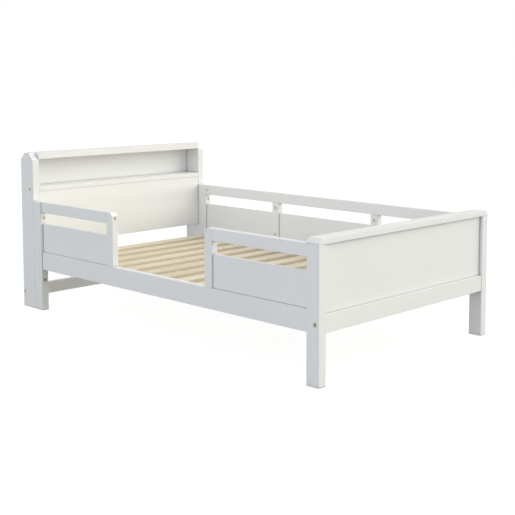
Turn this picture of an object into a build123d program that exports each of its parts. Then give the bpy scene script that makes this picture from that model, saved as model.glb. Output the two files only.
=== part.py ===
from build123d import *
import os

# Toddler bed with a storage headboard, a panelled footboard and guards on both long sides.
# +X runs from the headboard to the footboard, +Y from the entry side to the closed side,
# +Z up. The origin is on the floor, at the middle of the bed.

# ---- overall ----
length = 1430.0
width = 800.0
arris = 1.2             # rounding of every long board edge
clearance = 0.1         # play between a fitting and its hole, on the radius

# ---- headboard ----
head_height = 554.0
head_thickness = 26.0   # side panels and front posts, across the bed
side_depth = 76.0
side_corner = 25.0      # cut corners at the top of the side panels
post_depth = 44.0
top_board_thickness = 22.0
shelf_top = 434.0
shelf_thickness = 16.0
lower_panel_bottom = 224.0
lower_panel_thickness = 15.0
lower_panel_setback = 1.0
back_panel_thickness = 5.0
rebate_width = 8.0
stretcher_bottom = 33.0
stretcher_height = 42.0
stretcher_thickness = 18.0

# ---- footboard ----
leg_depth = 45.0
leg_thickness = 28.0
cap_thickness = 17.0
cap_bevel = 12.0
foot_panel_thickness = 15.0
foot_panel_recess = 10.0
foot_rail_thickness = 25.0
foot_rail_height = 50.0
foot_rail_recess = 1.5
groove_depth = 6.0

# ---- side rails and guards ----
board_thickness = 22.0
board_recess = 4.0      # rails and guards stand back from the faces of the posts
rail_bottom = 145.0
rail_top = 208.0
guard_top = 385.0
guard_length = 410.0
guard_rail_height = 37.0
stile_width = 32.0
stile_corner = 12.0
guard_panel_top = 309.0
guard_panel_thickness = 12.0

# ---- slats ----
slat_count = 14
slat_width = 47.0
slat_thickness = 14.0
slat_pitch = 88.5
slat_top = 190.0
slat_end_gap = 1.0
first_slat_gap = 11.5   # from the head posts to the first slat
ledger_height = 24.0
ledger_thickness = 20.0

# ---- stations worked out from the above ----
head_end = -length / 2
foot_end = length / 2
head_front = head_end + side_depth          # front of the side panels
bay_start = head_front + post_depth         # front of the head posts
bay_end = foot_end - leg_depth              # head side of the foot legs
board_outer = board_recess                  # distances in from the outer face of a side
board_inner = board_recess + board_thickness
board_middle = board_recess + board_thickness / 2
head_inner = width / 2 - head_thickness
leg_inner = width / 2 - leg_thickness
head_guard_end = bay_start + guard_length
foot_guard_start = bay_end - guard_length
stile_starts = (head_guard_end - stile_width, foot_guard_start)
guard_rail_bottom = guard_top - guard_rail_height
guard_rail_middle = guard_top - guard_rail_height / 2
panel_outer = board_middle - guard_panel_thickness / 2
panel_inner = board_middle + guard_panel_thickness / 2
foot_panel_front = foot_end - foot_panel_recess
foot_panel_back = foot_panel_front - foot_panel_thickness
foot_rail_front = foot_end - foot_rail_recess
foot_rail_back = foot_rail_front - foot_rail_thickness
foot_rail_middle = (foot_rail_front + foot_rail_back) / 2
foot_rail_top = rail_bottom + foot_rail_height
top_board_bottom = head_height - top_board_thickness
shelf_bottom = shelf_top - shelf_thickness
back_panel_front = head_end + back_panel_thickness
lower_panel_front = head_front - lower_panel_setback
lower_panel_back = lower_panel_front - lower_panel_thickness
ledger_top = slat_top - slat_thickness
slat_middles = [bay_start + first_slat_gap + slat_width / 2 + n * slat_pitch
                for n in range(slat_count)]
guard_dowel_heights = (246.0, 290.0)
sides = {"near": -1, "far": 1}


def across(side, inset):
    """The Y of a line that lies a given distance in from the outer face of a side."""
    return sides[side] * (width / 2 - inset)


# ---- fittings: a fitting is a row of round steps (radius, end radius, start, length) ----
joint_bolt_head = (5.0, 5.0, 0.0, 3.5)
steps = {
    "post_bolts": [joint_bolt_head, (3.0, 3.0, 3.5, 72.0)],
    "foot_rail_bolts": [joint_bolt_head, (3.0, 3.0, 3.5, 62.0)],
    "guard_stile_bolts": [joint_bolt_head, (3.0, 3.0, 3.5, 52.0)],
    "guard_base_bolts": [joint_bolt_head, (3.0, 3.0, 3.5, 84.0)],
    "guard_post_bolts": [joint_bolt_head, (3.0, 3.0, 3.5, 60.0)],
    "guard_rail_studs": [(3.0, 3.0, 0.0, 36.0)],
    "cam_pins": [(3.0, 3.0, 0.0, 44.0)],
    "cam_nuts": [(7.5, 7.5, 0.0, 12.5)],
    "barrel_nuts": [(5.0, 5.0, 0.0, 16.0)],
    "carcass_screws": [(5.0, 5.0, 0.0, 3.0), (3.5, 3.5, 3.0, 57.0)],
    "ledger_screws": [(4.0, 2.0, 0.0, 3.0), (2.0, 2.0, 3.0, 32.0)],
    "slat_screws": [(4.0, 2.0, 0.0, 3.0), (2.0, 2.0, 3.0, 27.0)],
    "back_panel_screws": [(3.0, 1.5, 0.0, 2.0), (1.5, 1.5, 2.0, 14.0)],
    "frame_dowels": [(4.0, 4.0, 0.0, 30.0)],
    "guard_dowels": [(3.0, 3.0, 0.0, 24.0)],
}
socket_bolts = ("post_bolts", "foot_rail_bolts", "guard_stile_bolts", "guard_base_bolts",
                "guard_post_bolts")
hex_socket_radius = 2.4
hex_socket_depth = 2.2
places = {name: [] for name in steps}       # (start, direction) of each fitting


def put(name, start, direction):
    """Note one fitting: where it starts, and the way that it points."""
    places[name].append((Vector(*start), Vector(*direction)))


cam_reach = 34.0        # from the end of a board to the middle of its cam nut
cam_grip = 10.0         # length of a cam pin in the post or side that it is screwed into
nut_depth_post = 54.0   # from the face under a bolt head to the middle of its barrel nut
barrel_reach = 12.0     # from the end of a guard's top rail to its barrel nut
stub = 20.0             # from the end of a post to its barrel nut
inward = {"near": 1, "far": -1}

for side, way in inward.items():
    middle = across(side, board_middle)
    inner_face = across(side, board_inner)
    to_outside = (0, -way, 0)

    # front posts on the headboard sides, two bolts each
    for height in (108.0, 328.0):
        put("post_bolts", (bay_start, across(side, head_thickness / 2), height), (-1, 0, 0))
        put("barrel_nuts", (bay_start - 64.0, across(side, head_thickness), height), to_outside)

    # side rails: one cam and two dowels at each end
    for end, out in ((bay_start, -1), (bay_end, 1)):
        nut_x = end - out * cam_reach
        put("cam_pins", (nut_x, middle, 192.0), (out, 0, 0))
        put("cam_nuts", (nut_x, inner_face, 192.0), to_outside)
        for height in (158.0, 174.0):
            put("frame_dowels", (end - out * 15.0, middle, height), (out, 0, 0))
        # top rails of the guards: a stud and a barrel nut
        put("guard_rail_studs", (end - out * 17.0, middle, guard_rail_middle), (out, 0, 0))
        put("barrel_nuts", (end - out * barrel_reach, inner_face, guard_rail_middle), to_outside)

    # stiles and posts of the guards, bolted up through the side rail
    for start in stile_starts:
        stile_x = start + stile_width / 2
        put("guard_base_bolts", (stile_x, middle, rail_bottom), (0, 0, 1))
        put("barrel_nuts", (stile_x, inner_face, rail_top + stub), to_outside)

    # guard panels, two dowels at each end
    for start in stile_starts:
        for edge in (start, start + stile_width):
            entry_edges = (head_guard_end, foot_guard_start)
            if side == "near" and edge in entry_edges:
                continue
            for height in guard_dowel_heights:
                put("guard_dowels", (edge - 12.0, middle, height), (1, 0, 0))
    for edge in (bay_start, bay_end):
        for height in guard_dowel_heights:
            put("guard_dowels", (edge - 12.0, middle, height), (1, 0, 0))

    # headboard boards between the two sides
    face = across(side, 0.0)
    inside = (0, way, 0)
    put("carcass_screws", (head_front - 21.0, face, shelf_top - shelf_thickness / 2), inside)
    put("carcass_screws",
        (head_end + stretcher_thickness / 2, face, stretcher_bottom + stretcher_height / 2), inside)
    board_end = across(side, head_thickness)
    for dowel_x in (head_end + 25.0, head_end + 51.0):      # clear of the cut corners
        put("frame_dowels", (dowel_x, board_end + way * 15.0, top_board_bottom + 11.0), to_outside)
    for height in (262.0, 378.0):
        put("guard_dowels",
            ((lower_panel_front + lower_panel_back) / 2, board_end + way * 12.0, height), to_outside)
    nut_y = board_end + way * cam_reach
    put("cam_pins", (head_end + 38.0, nut_y, top_board_bottom + 8.0), to_outside)
    put("cam_nuts", (head_end + 38.0, nut_y, top_board_bottom), (0, 0, 1))
    put("cam_pins", (lower_panel_back + 7.5, nut_y, 320.0), to_outside)
    put("cam_nuts", (lower_panel_back, nut_y, 320.0), (1, 0, 0))

    # footboard
    rail_middle = rail_bottom + foot_rail_height / 2
    put("foot_rail_bolts", (foot_rail_middle, face, rail_middle), inside)
    put("barrel_nuts", (foot_rail_back, across(side, 56.0), rail_middle), (1, 0, 0))
    for height in (rail_middle - 15.0, rail_middle + 14.0):
        put("guard_dowels", (foot_rail_middle, across(side, leg_thickness + 12.0), height),
            to_outside)
    leg_middle = across(side, leg_thickness / 2)
    put("frame_dowels", (bay_end + 32.0, leg_middle, guard_top - 18.0), (0, 0, 1))

    # slat ledgers, screwed to the rails between every third pair of slats
    for slat_x in slat_middles[1::3]:
        put("ledger_screws",
            (slat_x + slat_pitch / 2, across(side, board_inner + ledger_thickness),
             ledger_top - 14.0), to_outside)

# the entry side's stiles are bolted to the ends of their top rails
near_middle = across("near", board_middle)
for start, out in ((head_guard_end, -1), (foot_guard_start, 1)):
    put("guard_stile_bolts", (start, near_middle, guard_rail_middle), (out, 0, 0))
    nut_x = start + out * (stile_width + 18.0)
    put("barrel_nuts", (nut_x, across("near", board_inner), guard_rail_middle), (0, -1, 0))

# the closed side's posts are bolted down through the top rail
for start in stile_starts:
    stile_x = start + stile_width / 2
    put("guard_post_bolts", (stile_x, across("far", board_middle), guard_top), (0, 0, -1))
    put("barrel_nuts", (stile_x, across("far", board_inner), guard_rail_bottom - stub), (0, 1, 0))

for slat_x in slat_middles:
    for side in sides:
        screw_y = across(side, board_inner + ledger_thickness / 2)
        put("slat_screws", (slat_x, screw_y, slat_top), (0, 0, -1))

for count in range(5):
    screw_y = (count - 2) * 175.0
    put("back_panel_screws", (head_end, screw_y, shelf_top - shelf_thickness / 2), (1, 0, 0))
    put("back_panel_screws", (head_end, screw_y, top_board_bottom + 4.0), (1, 0, 0))


def add_steps(name, start, direction, play, mode):
    """Add or cut the round steps of one fitting."""
    for radius, end_radius, offset, size in steps[name]:
        with Locations(Plane(origin=start + direction * offset, z_dir=direction)):
            if radius == end_radius:
                Cylinder(radius + play, size, align=(Align.CENTER, Align.CENTER, Align.MIN),
                         mode=mode)
            else:
                Cone(radius + play, end_radius + play, size,
                     align=(Align.CENTER, Align.CENTER, Align.MIN), mode=mode)


def reaches(name, start, direction, box):
    """True if a fitting runs into a box."""
    last = steps[name][-1]
    end = start + direction * (last[2] + last[3])
    low = (min(start.X, end.X), min(start.Y, end.Y), min(start.Z, end.Z))
    high = (max(start.X, end.X), max(start.Y, end.Y), max(start.Z, end.Z))
    box_low = (box.min.X, box.min.Y, box.min.Z)
    box_high = (box.max.X, box.max.Y, box.max.Z)
    touch = 0.05
    return all(low[k] < box_high[k] - touch and high[k] > box_low[k] + touch for k in range(3))


def drill_for_fittings(board, names=tuple(steps)):
    """Cut the holes of the named fittings that run into the piece being made."""
    box = board.part.bounding_box()
    for name in names:
        for start, direction in places[name]:
            if reaches(name, start, direction, box):
                add_steps(name, start, direction, clearance, Mode.SUBTRACT)


os.makedirs("parts", exist_ok=True)


def save(part, name):
    part.label = name
    export_step(part, f"parts/{name}.step")


def span(first, second):
    return min(first, second), max(first, second)


def make_board(name, x, y, z):
    """A plain board between two X, two Y and two Z values, with rounded long edges."""
    (x0, x1), (y0, y1), (z0, z1) = span(*x), span(*y), span(*z)
    sizes = {Axis.X: x1 - x0, Axis.Y: y1 - y0, Axis.Z: z1 - z0}
    grain = max(sizes, key=sizes.get)
    with BuildPart() as board:
        with BuildSketch(Plane.XY.offset(z0)):
            with Locations(((x0 + x1) / 2, (y0 + y1) / 2)):
                Rectangle(x1 - x0, y1 - y0)
        extrude(amount=z1 - z0)
        fillet(board.edges().filter_by(grain), arris)
        drill_for_fittings(board)
    save(board.part, name)


# ---- headboard ----
def make_headboard_side(side):
    """A full-height side panel with its two top corners cut off, and a rebate for the back."""
    outer, inner = span(across(side, 0.0), across(side, head_thickness))
    with BuildPart() as panel:
        with BuildSketch(Plane.XZ.offset(-outer)):
            with BuildLine():
                Polyline(
                    (head_end, 0),
                    (head_front, 0),
                    (head_front, head_height - side_corner),
                    (head_front - side_corner, head_height),
                    (head_end + side_corner, head_height),
                    (head_end, head_height - side_corner),
                    close=True,
                )
            make_face()
        extrude(amount=-(inner - outer))
        fillet(panel.edges().filter_by(Axis.Y, reverse=True), arris)
        rebate_plane = Plane.XY.offset(shelf_bottom)
        with BuildSketch(rebate_plane):
            rebate_middle = across(side, head_thickness - rebate_width / 2)
            with Locations((head_end + back_panel_thickness / 2, rebate_middle)):
                Rectangle(back_panel_thickness, rebate_width)
        extrude(amount=top_board_bottom + rebate_width - shelf_bottom, mode=Mode.SUBTRACT)
        drill_for_fittings(panel)
    save(panel.part, f"headboard_side_{side}")


for side in sides:
    make_headboard_side(side)
    make_board(f"head_post_{side}", (head_front, bay_start),
               (across(side, 0.0), across(side, head_thickness)), (0.0, guard_top))

with BuildPart() as top_board:
    with BuildSketch(Plane.XZ.offset(head_inner)):
        with BuildLine():
            Polyline(
                (head_end, head_height),
                (head_front, head_height),
                (head_front, top_board_bottom),
                (back_panel_front, top_board_bottom),
                (back_panel_front, top_board_bottom + rebate_width),
                (head_end, top_board_bottom + rebate_width),
                close=True,
            )
        make_face()
    extrude(amount=-2 * head_inner)
    fillet(top_board.edges().filter_by(Axis.Y).group_by(Axis.Z)[-1], arris)
    fillet(top_board.edges().filter_by(Axis.Y).group_by(Axis.Z)[0].sort_by(Axis.X)[-1:], arris)
    drill_for_fittings(top_board)
save(top_board.part, "headboard_top_board")

make_board("headboard_shelf", (back_panel_front, head_front), (-head_inner, head_inner),
           (shelf_bottom, shelf_top))
make_board("headboard_lower_panel", (lower_panel_back, lower_panel_front),
           (-head_inner, head_inner), (lower_panel_bottom, shelf_bottom))
make_board("headboard_stretcher", (head_end, head_end + stretcher_thickness),
           (-head_inner, head_inner), (stretcher_bottom, stretcher_bottom + stretcher_height))

with BuildPart() as back_panel:
    with BuildSketch(Plane.XY.offset(shelf_bottom)):
        with Locations(((head_end + back_panel_front) / 2, 0)):
            Rectangle(back_panel_thickness, 2 * (head_inner + rebate_width))
    extrude(amount=top_board_bottom + rebate_width - shelf_bottom)
    drill_for_fittings(back_panel)
save(back_panel.part, "cubby_back_panel")


# ---- footboard ----
def make_foot_leg(side):
    """A square leg with a groove on its inner face for the edge of the panel."""
    y0, y1 = span(across(side, 0.0), across(side, leg_thickness))
    with BuildPart() as leg:
        with BuildSketch():
            with Locations(((bay_end + foot_end) / 2, (y0 + y1) / 2)):
                Rectangle(leg_depth, leg_thickness)
        extrude(amount=guard_top)
        fillet(leg.edges().filter_by(Axis.Z), arris)
        with BuildSketch(Plane.XY.offset(foot_rail_top - groove_depth)):
            groove_middle = across(side, leg_thickness - groove_depth / 2)
            with Locations(((foot_panel_front + foot_panel_back) / 2, groove_middle)):
                Rectangle(foot_panel_thickness, groove_depth)
        extrude(amount=guard_top - foot_rail_top + groove_depth, mode=Mode.SUBTRACT)
        drill_for_fittings(leg)
    save(leg.part, f"foot_leg_{side}")


for side in sides:
    make_foot_leg(side)

with BuildPart() as foot_panel:
    with BuildSketch(Plane.XY.offset(foot_rail_top - groove_depth)):
        with Locations(((foot_panel_front + foot_panel_back) / 2, 0)):
            Rectangle(foot_panel_thickness, 2 * (leg_inner + groove_depth))
    extrude(amount=guard_top - foot_rail_top + 2 * groove_depth)
save(foot_panel.part, "footboard_panel")

with BuildPart() as foot_rail:
    with BuildSketch(Plane.XY.offset(rail_bottom)):
        with Locations((foot_rail_middle, 0)):
            Rectangle(foot_rail_thickness, 2 * leg_inner)
    extrude(amount=foot_rail_height)
    fillet(foot_rail.edges().filter_by(Axis.Y), arris)
    with BuildSketch(Plane.XY.offset(foot_rail_top - groove_depth)):
        with Locations(((foot_panel_front + foot_panel_back) / 2, 0)):
            Rectangle(foot_panel_thickness, 2 * leg_inner)
    extrude(amount=groove_depth, mode=Mode.SUBTRACT)
    drill_for_fittings(foot_rail)
save(foot_rail.part, "footboard_bottom_rail")

with BuildPart() as cap:
    with BuildSketch(Plane.YZ.offset(bay_end)):
        with BuildLine():
            Polyline(
                (-width / 2, guard_top),
                (width / 2, guard_top),
                (width / 2, guard_top + cap_thickness - cap_bevel),
                (width / 2 - cap_bevel, guard_top + cap_thickness),
                (-width / 2 + cap_bevel, guard_top + cap_thickness),
                (-width / 2, guard_top + cap_thickness - cap_bevel),
                close=True,
            )
        make_face()
    extrude(amount=leg_depth)
    fillet(cap.faces().sort_by(Axis.Z)[-1].edges(), arris)
    with BuildSketch(Plane.XY.offset(guard_top)):
        with Locations(((foot_panel_front + foot_panel_back) / 2, 0)):
            Rectangle(foot_panel_thickness, 2 * (leg_inner + groove_depth))
    extrude(amount=groove_depth, mode=Mode.SUBTRACT)
    drill_for_fittings(cap)
save(cap.part, "footboard_cap")

# ---- side rails, ledgers and slats ----
for side in sides:
    rail_y = (across(side, board_outer), across(side, board_inner))
    make_board(f"side_rail_{side}", (bay_start, bay_end), rail_y, (rail_bottom, rail_top))
    ledger_y = (across(side, board_inner), across(side, board_inner + ledger_thickness))
    make_board(f"slat_ledger_{side}", (bay_start, bay_end), ledger_y,
               (ledger_top - ledger_height, ledger_top))

slat_reach = width / 2 - board_inner - slat_end_gap
for number, slat_x in enumerate(slat_middles, start=1):
    make_board(f"slat_{number:02d}", (slat_x - slat_width / 2, slat_x + slat_width / 2),
               (-slat_reach, slat_reach), (ledger_top, slat_top))


# ---- guards ----
def make_entry_stile(name, start, corner_at_start):
    """An upright at the entry, with its top corner cut off on the open side."""
    y0 = across("near", board_outer)
    end = start + stile_width
    low = guard_top - stile_corner
    if corner_at_start:
        top = [(end, guard_top), (start + stile_corner, guard_top), (start, low)]
    else:
        top = [(end, low), (end - stile_corner, guard_top), (start, guard_top)]
    with BuildPart() as stile:
        with BuildSketch(Plane.XZ.offset(-y0)):
            with BuildLine():
                Polyline((start, rail_top), (end, rail_top), *top, close=True)
            make_face()
        extrude(amount=-board_thickness)
        fillet(stile.edges().filter_by(Axis.Z), arris)
        drill_for_fittings(stile)
    save(stile.part, name)


near_board = (across("near", board_outer), across("near", board_inner))
near_panel = (across("near", panel_outer), across("near", panel_inner))
far_board = (across("far", board_outer), across("far", board_inner))
far_panel = (across("far", panel_outer), across("far", panel_inner))
top_rail_z = (guard_rail_bottom, guard_top)
panel_z = (rail_top, guard_panel_top)

make_entry_stile("head_guard_stile", stile_starts[0], corner_at_start=False)
make_board("head_guard_top_rail", (bay_start, stile_starts[0]), near_board, top_rail_z)
make_board("head_guard_panel", (bay_start, stile_starts[0]), near_panel, panel_z)

foot_stile_end = foot_guard_start + stile_width
make_entry_stile("foot_guard_stile", stile_starts[1], corner_at_start=True)
make_board("foot_guard_top_rail", (foot_stile_end, bay_end), near_board, top_rail_z)
make_board("foot_guard_panel", (foot_stile_end, bay_end), near_panel, panel_z)

make_board("far_guard_top_rail", (bay_start, bay_end), far_board, top_rail_z)
for name, start in zip(("head", "foot"), stile_starts):
    make_board(f"far_guard_post_{name}", (start, start + stile_width), far_board,
               (rail_top, guard_rail_bottom))
far_bays = {
    "head": (bay_start, stile_starts[0]),
    "middle": (stile_starts[0] + stile_width, stile_starts[1]),
    "foot": (foot_stile_end, bay_end),
}
for name, bay in far_bays.items():
    make_board(f"far_guard_panel_{name}", bay, far_panel, panel_z)

# ---- fittings, one node for each kind ----
for name, spots in places.items():
    with BuildPart() as fittings:
        for start, direction in spots:
            add_steps(name, start, direction, 0.0, Mode.ADD)
            if name in socket_bolts:
                with BuildSketch(Plane(origin=start, z_dir=direction)):
                    RegularPolygon(hex_socket_radius, 6)
                extrude(amount=hex_socket_depth, mode=Mode.SUBTRACT)
        if name == "barrel_nuts":
            drill_for_fittings(fittings, socket_bolts + ("guard_rail_studs",))
        if name == "cam_nuts":
            drill_for_fittings(fittings, ("cam_pins",))
    save(fittings.part, name)
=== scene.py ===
# A white painted toddler bed: painted boards, pine slats and the fittings that hold it together.
import bmesh
import bpy
import math
import random
from mathutils import Matrix, Vector


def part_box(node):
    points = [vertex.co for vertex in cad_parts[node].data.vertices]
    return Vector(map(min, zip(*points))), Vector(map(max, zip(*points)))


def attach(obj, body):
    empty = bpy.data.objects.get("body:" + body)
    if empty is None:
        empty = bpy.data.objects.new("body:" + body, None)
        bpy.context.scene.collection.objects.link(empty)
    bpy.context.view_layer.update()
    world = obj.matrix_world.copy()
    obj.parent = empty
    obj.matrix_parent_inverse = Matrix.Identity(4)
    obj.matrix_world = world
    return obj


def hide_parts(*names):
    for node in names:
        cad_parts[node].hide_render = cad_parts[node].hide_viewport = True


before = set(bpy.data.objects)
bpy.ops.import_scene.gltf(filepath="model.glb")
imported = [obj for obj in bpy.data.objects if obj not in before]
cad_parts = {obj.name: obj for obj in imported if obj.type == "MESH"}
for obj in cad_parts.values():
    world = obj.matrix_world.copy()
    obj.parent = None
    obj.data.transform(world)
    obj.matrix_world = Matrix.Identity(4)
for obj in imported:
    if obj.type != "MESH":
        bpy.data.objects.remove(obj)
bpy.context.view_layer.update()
collection = bpy.context.scene.collection
weldDistance = 1e-6
print("frame loaded with", len(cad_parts), "nodes")


# Node building, for shaders and for geometry alike.
def add(tree, kind, inputs=None, **settings):
    node = tree.nodes.new(kind)
    for key, value in settings.items():
        setattr(node, key, value)
    for key, value in (inputs or {}).items():
        if isinstance(value, bpy.types.NodeSocket):
            tree.links.new(value, node.inputs[key])
        else:
            node.inputs[key].default_value = value
    return node


def calc(tree, operation, *values):
    inputs = dict(enumerate(values))
    return add(tree, "ShaderNodeMath", inputs, operation=operation).outputs[0]


def vectorCalc(tree, operation, *values):
    inputs = dict(enumerate(values))
    return add(tree, "ShaderNodeVectorMath", inputs, operation=operation).outputs[0]


def remap(tree, value, start, end, low=0.0, high=1.0):
    inputs = {"Value": value, "From Min": start, "From Max": end, "To Min": low, "To Max": high}
    return add(tree, "ShaderNodeMapRange", inputs, interpolation_type="SMOOTHSTEP").outputs[0]


def blendColour(tree, factor, first, second, kind="MIX"):
    inputs = {0: factor, 6: first, 7: second}
    node = add(tree, "ShaderNodeMix", inputs, data_type="RGBA", blend_type=kind)
    return node.outputs[2]


def shaded(tree, colour, light):
    shade = add(tree, "ShaderNodeCombineXYZ", {"X": light, "Y": light, "Z": light}).outputs[0]
    return blendColour(tree, 1.0, colour, shade, "MULTIPLY")


def noise(tree, vector, scale, detail=2.0, roughness=0.5):
    inputs = {"Vector": vector, "Scale": scale, "Detail": detail, "Roughness": roughness}
    return add(tree, "ShaderNodeTexNoise", inputs).outputs["Fac"]


def grey(value):
    return (value, value, value, 1.0)


def solid(colour):
    return (*colour, 1.0)


def startMaterial(name):
    material = bpy.data.materials.new(name)
    material.use_nodes = True
    tree = material.node_tree
    tree.nodes.clear()
    shader = add(tree, "ShaderNodeBsdfPrincipled")
    output = add(tree, "ShaderNodeOutputMaterial")
    tree.links.new(shader.outputs[0], output.inputs["Surface"])
    return material, tree, shader


def finishMaterial(tree, shader, colour, roughness, height):
    # heights are real ones, in metres
    bump = add(tree, "ShaderNodeBump", {"Height": height, "Strength": 1.0, "Distance": 1.0})
    tree.links.new(colour, shader.inputs["Base Color"])
    tree.links.new(roughness, shader.inputs["Roughness"])
    tree.links.new(bump.outputs["Normal"], shader.inputs["Normal"])


def boardCoordinates(tree):
    # every board carries where a point is on it: along the grain, across it and through it
    local = add(tree, "ShaderNodeAttribute", attribute_name="local").outputs["Vector"]
    half = add(tree, "ShaderNodeAttribute", attribute_name="half").outputs["Vector"]
    board = add(tree, "ShaderNodeAttribute", attribute_name="board").outputs["Fac"]
    return local, half, board


def shiftedBy(tree, local, board, reach):
    # no two boards are cut from the same place
    offset = add(tree, "ShaderNodeCombineXYZ", {
        "X": calc(tree, "MULTIPLY", board, reach[0]),
        "Y": calc(tree, "MULTIPLY", board, reach[1]),
        "Z": calc(tree, "MULTIPLY", board, reach[2]),
    })
    return vectorCalc(tree, "ADD", local, offset.outputs[0])


def distanceToArris(tree, local, half):
    # on a face the nearest side is the face itself, so the arris is the second nearest
    inside = vectorCalc(tree, "SUBTRACT", half, vectorCalc(tree, "ABSOLUTE", local))
    parts = add(tree, "ShaderNodeSeparateXYZ", {0: inside}).outputs
    smaller = calc(tree, "MINIMUM", parts[0], parts[1])
    larger = calc(tree, "MAXIMUM", parts[0], parts[1])
    return calc(tree, "MAXIMUM", smaller, calc(tree, "MINIMUM", larger, parts[2]))


# White paint: rolled on in thin coats, so the grain just shows through, thinner over the arrises in
# worn patches; painted shade darkens every arris and the seams.
paintLook = {
    "colour": (0.852, 0.858, 0.870),
    "thinColour": (0.775, 0.745, 0.685),
    "shift": (11.0, 5.0, 3.0),
    "toneScale": 4.5,
    "toneSpread": 0.022,
    "grainStretch": (7.0, 260.0, 260.0),
    "grainTone": 0.016,
    "grainHeight": 0.000020,
    "rollerScale": 480.0,
    "rollerHeight": 0.000014,
    "speckScale": 130.0,
    "speckEdge": (0.10, 0.02),
    "speckRarity": (0.93, 0.97),
    "speckHeight": 0.000030,
    "arrisWidth": 0.0017,
    # painted shade over every arris
    "arrisShade": 0.12,
    "arrisWear": 0.30,
    "wearScale": 38.0,
    "wearPatches": (0.42, 0.68),
    # painted shade in the seams and corners, read from how open the surface is
    "jointReach": 0.009,
    "jointSamples": 8,
    "jointOpenness": (0.95, 0.35),
    "jointShade": 0.62,
    "jointShadeColour": (0.30, 0.31, 0.32),
    "rollerShare": 0.5,
    "sheenRange": (0.25, 0.75),
    "roughness": (0.37, 0.50),
}


def makePaint(name, look):
    material, tree, shader = startMaterial(name)
    local, half, board = boardCoordinates(tree)
    place = shiftedBy(tree, local, board, look["shift"])
    tone = noise(tree, place, look["toneScale"], detail=3.0)
    stretched = vectorCalc(tree, "MULTIPLY", place, look["grainStretch"])
    grain = noise(tree, stretched, 1.0, detail=4.0, roughness=0.6)
    roller = noise(tree, place, look["rollerScale"])
    # a few specks caught in the paint
    cells = add(tree, "ShaderNodeTexVoronoi", {"Vector": place, "Scale": look["speckScale"]})
    pick = add(tree, "ShaderNodeSeparateXYZ", {0: cells.outputs["Color"]}).outputs[0]
    speck = remap(tree, cells.outputs["Distance"], *look["speckEdge"])
    speck = calc(tree, "MULTIPLY", speck, remap(tree, pick, *look["speckRarity"]))
    arris = remap(tree, distanceToArris(tree, local, half), look["arrisWidth"], 0.0)
    rubbed = noise(tree, place, look["wearScale"], detail=5.0, roughness=0.6)
    rubbed = remap(tree, rubbed, *look["wearPatches"])
    wear = calc(tree, "MULTIPLY", calc(tree, "MULTIPLY", arris, rubbed), look["arrisWear"])
    light = calc(tree, "MULTIPLY_ADD", tone, 2.0 * look["toneSpread"], 1.0 - look["toneSpread"])
    light = calc(tree, "MULTIPLY_ADD", grain, look["grainTone"], light)
    # painted shade: every arris is darkened evenly, to tone down the highlight it catches
    light = calc(tree, "MULTIPLY_ADD", arris, -look["arrisShade"], light)
    colour = shaded(tree, solid(look["colour"]), light)
    colour = blendColour(tree, wear, colour, solid(look["thinColour"]))
    # painted shade where two boards meet, in corners and where the feet stand on the floor: the
    # colour goes grey as the ambient occlusion reading falls
    openness = add(tree, "ShaderNodeAmbientOcclusion", {"Distance": look["jointReach"]},
                   samples=look["jointSamples"]).outputs["AO"]
    jointShadeMask = remap(tree, openness, *look["jointOpenness"], 0.0, look["jointShade"])
    colour = blendColour(tree, jointShadeMask, colour, solid(look["jointShadeColour"]))
    sheen = calc(tree, "MULTIPLY_ADD", tone, 1.0 - look["rollerShare"],
                 calc(tree, "MULTIPLY", roller, look["rollerShare"]))
    roughness = remap(tree, sheen, *look["sheenRange"], *look["roughness"])
    height = calc(tree, "MULTIPLY", grain, look["grainHeight"])
    height = calc(tree, "MULTIPLY_ADD", roller, look["rollerHeight"], height)
    height = calc(tree, "MULTIPLY_ADD", speck, look["speckHeight"], height)
    finishMaterial(tree, shader, colour, roughness, height)
    return material


# Pine, sawn out of a log whose heart runs beside the board, so that the rings make long arches.
pineLook = {
    "early": (0.800, 0.735, 0.585),
    "late": (0.655, 0.530, 0.335),
    "heart": (0.735, 0.630, 0.445),
    "knot": (0.360, 0.205, 0.100),
    "shift": (9.0, 0.0, 0.0),
    "stirs": {"heartSideways": 17.3, "heartDepth": 7.9, "tone": 29.1},
    "heartSpread": 0.060,
    "heartDepth": (0.018, 0.070),
    "ringWidth": 0.0036,
    "ringRise": (0.25, 0.90),
    "ringFall": (1.0, 0.93),
    "ringPatches": (0.2, 0.8),
    "ringShare": (0.40, 0.75),
    "ringHeight": 0.000035,
    "wanderStretch": (1.6, 7.0, 7.0),
    "wander": 0.014,
    "fibreStretch": (14.0, 900.0, 900.0),
    "fibreTone": 0.10,
    "fibreHeight": 0.000025,
    "fibreRange": (0.3, 0.7),
    "patchStretch": (3.0, 20.0, 20.0),
    "heartPatches": (0.45, 0.75),
    "heartShare": 0.5,
    "knotStretch": (3.4, 7.5, 0.0),
    "knotSize": 0.055,
    "knotEdge": (1.15, 0.75),
    "knotRarity": (0.80, 0.82),
    "knotShare": 0.85,
    "pushReach": 5.0,
    "pushRings": 2.5,
    "boardTone": 0.10,
    "endReach": 0.0012,
    "endTone": 0.80,
    "arrisWidth": 0.0022,
    "arrisShare": 0.25,
    "roughness": (0.52, 0.70),
}


def stirred(tree, board, stir):
    # another random number for the board, out of the one that it carries
    return calc(tree, "FRACT", calc(tree, "MULTIPLY", board, stir))


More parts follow.
